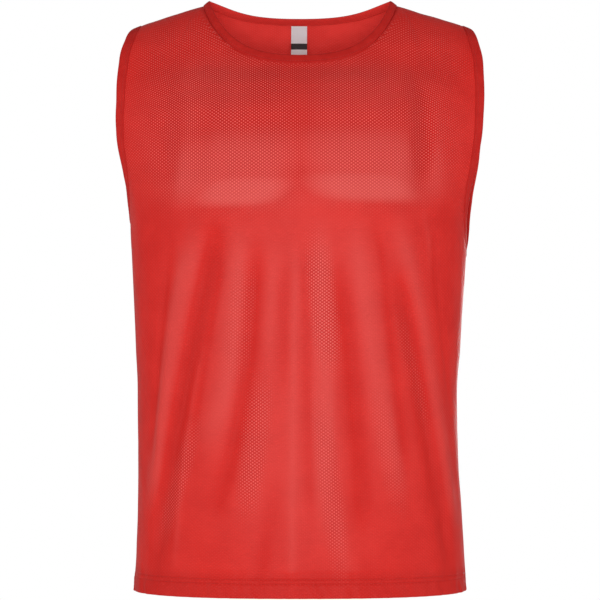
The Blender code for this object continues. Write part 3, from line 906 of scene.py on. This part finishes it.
def binding_strip(node, root, root_way, edge, material):
    """A folded strip round a closed line, and the line and directions of its row of stitches."""
    along = unit(np.roll(root, -1, axis=0) - np.roll(root, 1, axis=0))
    thick_way = unit(np.cross(along, edge - root))
    thick_way *= np.sign((thick_way * root_way).sum(axis=-1, keepdims=True))
    run = length_along(np.concatenate([root, root[:1]]))
    run, round_length = run[:-1], run[-1]
    swell = 1 + 0.05 * uneven(run, (0.006, 0.0087, 0.017), SEEDS[node])[:, None]
    rings, over, crease, inner = [], [], [], []
    width = np.linalg.norm(edge - root, axis=-1)
    for sign, rows in ((1, BINDING_SECTION), (-1, BINDING_SECTION[-2::-1])):
        for across, lift, painted_shade in rows:
            way = root_way if across < 0.03 else thick_way
            rings.append(root + (edge - root) * across + way * (sign * lift / 1000) * swell)
            over.append((across if sign > 0 else 2 - across) * width)
            crease.append(np.full(len(root), painted_shade))
            inner.append(np.full(len(root), float(sign < 0)))
    points = np.stack(rings, axis=1)
    runs = np.stack([np.tile(run[:, None], (1, len(rings))), np.stack(over, axis=1)], axis=-1)
    faces = grid_faces(*points.shape[:2], closed_rows=True, closed_columns=True)
    centre = points.mean(axis=1)
    first = points.reshape(-1, 3)[faces[0]]
    normal = np.cross(first[1] - first[0], first[3] - first[0])
    faces = face_outwards(faces, (normal * (first.mean(axis=0) - centre[0])).sum() < 0)
    marks = {"crease": np.stack(crease, axis=1), "inner_side": np.stack(inner, axis=1)}
    piece = new_piece(node + "_cloth", points, faces.tolist(), material, runs, marks, round_length)
    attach(piece, "root")
    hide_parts(node)
    line = root + (edge - root) * BINDING_STITCH
    return piece, line + thick_way * BINDING_THREAD_LIFT, thick_way


def edge_ways(loop, clothes):
    """Outward directions of the cloth round an armhole, each taken over a patch of both panels."""
    cloth = np.concatenate([form.reshape(-1, 3) for form in clothes.values()])
    inside = loop.mean(axis=0) * (0.5, 0, 1)
    ways = []
    for point in loop:
        near = cloth[((cloth - point) ** 2).sum(axis=1) < EDGE_PATCH ** 2]
        near = near - near.mean(axis=0)
        flattest = np.linalg.eigh(near.T @ near)[1][:, 0]
        ways.append(flattest * np.sign(flattest @ (point - inside)))
    return unit(round_loop(np.array(ways), 20))


def armhole_strip(node, clothes, column, material):
    """The binding round one armhole, carried on from the edges of both panels."""
    above = slice(-UPPER_ROWS - 1, None)
    ahead = clothes["front"][above, column]
    behind = clothes["back"][above, column]
    underarm = (ahead[0] + behind[0]) / 2
    tip = (ahead[-1] + behind[-1]) / 2
    loop = np.array([underarm, *ahead[1:-1], tip, *behind[-2:0:-1]])
    out = edge_ways(loop, clothes)
    onward = past_the_edge(loop, out, loop.mean(axis=0))
    edge = loop + onward * (SEAM_GAP + ARMHOLE_BINDING_WIDTH)
    return binding_strip(node, loop - onward * BINDING_LAP, out, edge, material)


def neck_strip(clothes, ways, material):
    """The binding round the neck, its free edge rounded where it passes over the shoulders."""
    angles = np.linspace(0, np.pi / 2, NECK_COLUMNS + 1)
    neck = slice(SHOULDER_COLUMNS, -SHOULDER_COLUMNS)
    loop, out, edge = [], [], []
    for side, sign in (("front", -1), ("back", 1)):
        across, depth, height = neck_line(NECK_EDGE, side, angles)
        half = np.stack([across, sign * depth, height], axis=-1)
        run = np.concatenate([half[:0:-1] * (-1, 1, 1), half])
        order = slice(0, -1) if side == "front" else slice(None, 0, -1)
        edge.extend(run[order])
        loop.extend(clothes[side][-1, neck][order])
        out.extend(ways[side][-1, neck][order])
    loop, edge = np.array(loop), round_loop(np.array(edge), 10)
    out = unit(round_loop(np.array(out), 6))
    loop[[0, 2 * NECK_COLUMNS], 1] = 0
    root = loop - past_the_edge(loop, out, edge.mean(axis=0)) * BINDING_LAP
    return binding_strip("neck_binding", root, out, edge, material)


def read_line(line, run, at):
    """Points of a line at given runs along it."""
    return np.stack([np.interp(at, run, line[:, k]) for k in range(3)], axis=-1)


def even_points(line, spacing, closed):
    """Points at an even spacing along a line."""
    if closed:
        line = np.concatenate([line, line[:1]])
    run = length_along(line)
    count = int(run[-1] / spacing)
    at = np.arange(count + (0 if closed else 1)) * run[-1] / count
    return read_line(line, run, at), at, run


STITCH_SECTIONS = np.array([
    (-0.50, 0.15, -0.00035), (-0.30, 0.80, 0.00002), (0.00, 1.00, 0.00012),
    (0.30, 0.80, 0.00002), (0.50, 0.15, -0.00035),
], dtype=[("along", float), ("girth", float), ("lift", float)])


def stitch_row(name, line, out, sizes, material, closed=False):
    """A row of separate stitches, each a short bowed thread that dips into the cloth at its ends."""
    middles, at, run = even_points(line, sizes["spacing"], closed)
    if closed:
        line = np.concatenate([line, line[:1]])
        out = np.concatenate([out, out[:1]])
    outs = unit(read_line(out, run, at))
    alongs = unit(read_line(line, run, at + 0.0005) - read_line(line, run, at - 0.0005))
    sides = unit(np.cross(outs, alongs))
    corners = np.radians((45, 135, 225, 315))
    rings = []
    for along, girth, lift in STITCH_SECTIONS:
        middle = middles + alongs * along * sizes["length"] + outs * lift
        radius = sizes["radius"] * girth
        for corner in corners:
            rings.append(middle + (sides * np.cos(corner) + outs * np.sin(corner)) * radius)
    points = np.stack(rings, axis=1)
    one = grid_faces(len(STITCH_SECTIONS), 4, closed_columns=True)
    last = (len(STITCH_SECTIONS) - 1) * 4
    caps = np.array([[3, 2, 1, 0], [last, last + 1, last + 2, last + 3]])
    each = np.concatenate([one[:, ::-1], caps[:, ::-1]])
    offsets = np.arange(len(middles))[:, None, None] * points.shape[1]
    faces = (each[None] + offsets).reshape(-1, 4)
    flip = np.cross(alongs[0], sides[0]) @ outs[0] < 0
    piece = new_piece(name, points, face_outwards(faces, flip).tolist(), material)
    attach(piece, "root")
    return piece


def hem_stitches(side, outer, ways, material):
    """Both rows of the hem's two-needle stitching on one panel."""
    made = []
    for place, which in zip(HEM_STITCH_HEIGHTS, ("lower", "upper")):
        row = int(np.argmin(np.abs(HEM_ROWS - place)))
        out = ways[row, 1:-1]
        line = outer[row, 1:-1] + out * (CLOTH / 2 + THREAD_PROUD)
        made.append(stitch_row(f"{side}_hem_stitches_{which}", line, out, HEM_STITCH, material))
    return made


def hem_looper(side, outer, ways, material):
    """The zigzag of looper thread that covers the raw edge of the turned-up hem, inside."""
    lines = []
    for place in HEM_STITCH_HEIGHTS:
        row = int(np.argmin(np.abs(HEM_ROWS - place)))
        line = outer[row, 1:-1] - ways[row, 1:-1] * (HEM_LAYER + CLOTH / 2 + LOOPER_PROUD)
        lines.append(even_points(line, HEM_STITCH["spacing"], False)[0])
    count = min(len(line) for line in lines)
    zigzag = np.stack([line[:count] for line in lines], axis=1).reshape(-1, 3)
    return thread_tube(f"{side}_hem_looper_thread", zigzag, LOOPER_RADIUS, material)


def thread_tube(name, path, radius, material):
    """A thin thread along a path, three-sided, with closed ends."""
    along = unit(np.gradient(path, axis=0))
    side = unit(np.cross(along, [0.1, 0.2, 1.0]))
    over = np.cross(along, side)
    angles = np.radians((90, 210, 330))
    rings = [path + (side * np.cos(angle) + over * np.sin(angle)) * radius for angle in angles]
    points = np.stack(rings, axis=1)
    faces = grid_faces(*points.shape[:2], closed_columns=True)
    start, end = points[0].mean(axis=0), points[-1].mean(axis=0)
    count = points.shape[0] * 3
    everything = np.concatenate([points.reshape(-1, 3), [start, end]])
    last = count - 3
    caps = []
    for here, after in ((0, 1), (1, 2), (2, 0)):
        caps.append([after, here, count])
        caps.append([last + here, last + after, count + 1])
    piece = new_piece(name, everything, faces.tolist() + caps, material)
    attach(piece, "root")
    return piece


def label(material):
    """The woven label: sewn in under the back of the neck binding, free at its lower end."""
    rows, columns = 25, 13
    near = 0.05
    slope = chest_cloth("back", np.array([near]), np.array([[np.pi * 0.97]]))[0, 0, 0] / near
    across = np.linspace(-LABEL_HALF_WIDTH, LABEL_HALF_WIDTH, columns)
    share = ((across + LABEL_CENTRE) / slope)[None, :]
    low, high = LABEL_TURNS
    turns = np.pi * (1 - np.linspace(low, high, rows))[:, None]
    grid = chest_cloth("back", share, turns)
    grid[..., 1] += SEAM_GAP / 2
    inward = unit(np.cross(np.gradient(grid, axis=1), np.gradient(grid, axis=0)))
    down = np.linspace(1, 0, rows)[:, None]
    curl = 0.0009 * down ** 3 + 0.0004 * down * (across / LABEL_HALF_WIDTH)[None, :] ** 2
    points = grid + inward * (LABEL_INSET + curl)[..., None]
    up = length_along(grid[:, columns // 2])
    runs = np.stack(np.broadcast_arrays(across[None, :], up[:, None]), axis=-1)
    faces = grid_faces(rows, columns).tolist()
    piece = new_piece("neck_label_cloth", points, faces, material, runs)
    thicken(piece, LABEL_CLOTH)
    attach(piece, "root")
    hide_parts("neck_label")
    return piece


# ---- the making

knit, knit_back = pinhole_knit(), knit_inside()
rib, thread, satin = binding_knit(), sewing_thread(), label_weave()

panels, clothes, ways = {}, {}, {}
for side, *tables in (
        ("front", FRONT_FOLDS, SOFT_FRONT_FOLDS, FRONT_CREASES, FRONT_PATCHES, FRONT_PAINTED_HIGHLIGHT),
        ("back", BACK_FOLDS, SOFT_BACK_FOLDS, BACK_CREASES, BACK_PATCHES, BACK_PAINTED_HIGHLIGHT)):
    panels[side], clothes[side], ways[side] = panel(side, *tables, knit, knit_back)

left = armhole_strip("armhole_binding_left", clothes, -1, rib)
right = armhole_strip("armhole_binding_right", clothes, 0, rib)
neck = neck_strip(clothes, ways, rib)
tag = label(satin)

for side, flat, area in (("front", (0.532, 0.725), 0.325), ("back", (0.532, 0.735), 0.330)):
    rows = hem_stitches(side, clothes[side], ways[side], thread)
    looper = hem_looper(side, clothes[side], ways[side], thread)
for (strip, line, out), name, length in ((left, "left_armhole_stitches", 0.63),
                                         (right, "right_armhole_stitches", 0.59),
                                         (neck, "neck_stitches", 0.63)):
    row = stitch_row(name, line, out, BINDING_THREAD, thread, closed=True)


# ---- camera, floor and light

def studio_camera():
    data = bpy.data.cameras.new("camera")
    data.sensor_width = SENSOR
    data.lens = SENSOR * CAMERA_DISTANCE / PICTURE_WIDTH
    data.clip_end = 100
    camera = bpy.data.objects.new("camera", data)
    camera.location = (0, -CAMERA_DISTANCE, CAMERA_HEIGHT)
    camera.rotation_euler = (np.pi / 2, 0, 0)
    bpy.context.scene.collection.objects.link(camera)
    bpy.context.scene.camera = camera


def pale_floor():
    bpy.ops.object.select_all(action="DESELECT")
    bpy.ops.mesh.primitive_circle_add(vertices=96, radius=7.3, fill_type="NGON",
                                      location=(0, 0, -1.45))
    floor = bpy.context.object
    floor.name = "pale_floor"
    work = Finish("pale_floor", (0.86, 0.86, 0.86), 0.7, 0.2)
    grey = work.blend(work.cloud(1.5), (0.85, 0.85, 0.85, 1), (0.88, 0.88, 0.88, 1))
    floor.data.materials.append(work.finish(grey))


def soft_light(name, place, size, power):
    """A rectangular light that faces the middle of the bib."""
    data = bpy.data.lights.new(name, "AREA")
    data.shape = "RECTANGLE"
    data.size, data.size_y = size
    data.energy = power
    light = bpy.data.objects.new(name, data)
    light.location = place
    way = np.array((0, 0, CAMERA_HEIGHT)) - np.array(place)
    flat = np.hypot(way[0], way[1])
    light.rotation_euler = (np.pi / 2 + np.arctan2(way[2], flat), 0,
                            np.arctan2(-way[0], way[1]))
    bpy.context.scene.collection.objects.link(light)


def studio_world():
    world = bpy.data.worlds.new("studio")
    bpy.context.scene.world = world
    world.use_nodes = True
    tree = world.node_tree
    shown = tree.nodes["Background"]
    shown.inputs["Color"].default_value = (1, 1, 1, 1)
    shown.inputs["Strength"].default_value = 1.0
    lighting = tree.nodes.new("ShaderNodeBackground")
    lighting.inputs["Color"].default_value = (1, 0.99, 0.98, 1)
    lighting.inputs["Strength"].default_value = 0.40
    path = tree.nodes.new("ShaderNodeLightPath")
    mix = tree.nodes.new("ShaderNodeMixShader")
    tree.links.new(path.outputs["Is Camera Ray"], mix.inputs[0])
    tree.links.new(lighting.outputs[0], mix.inputs[1])
    tree.links.new(shown.outputs[0], mix.inputs[2])
    tree.links.new(mix.outputs[0], tree.nodes["World Output"].inputs["Surface"])


studio_camera()
pale_floor()
studio_world()
soft_light("left_softbox", (-2.95, -1.7, -0.42), (1.2, 2.0), 31)
soft_light("right_softbox", (2.95, -1.7, -0.42), (1.2, 2.0), 31)
soft_light("front_softbox", (0, -3.9, -0.60), (1.4, 0.8), 59)
soft_light("back_softbox", (0.5, 3.9, 0.0), (2.2, 1.4), 52)
bpy.context.scene.view_settings.view_transform = "Standard"
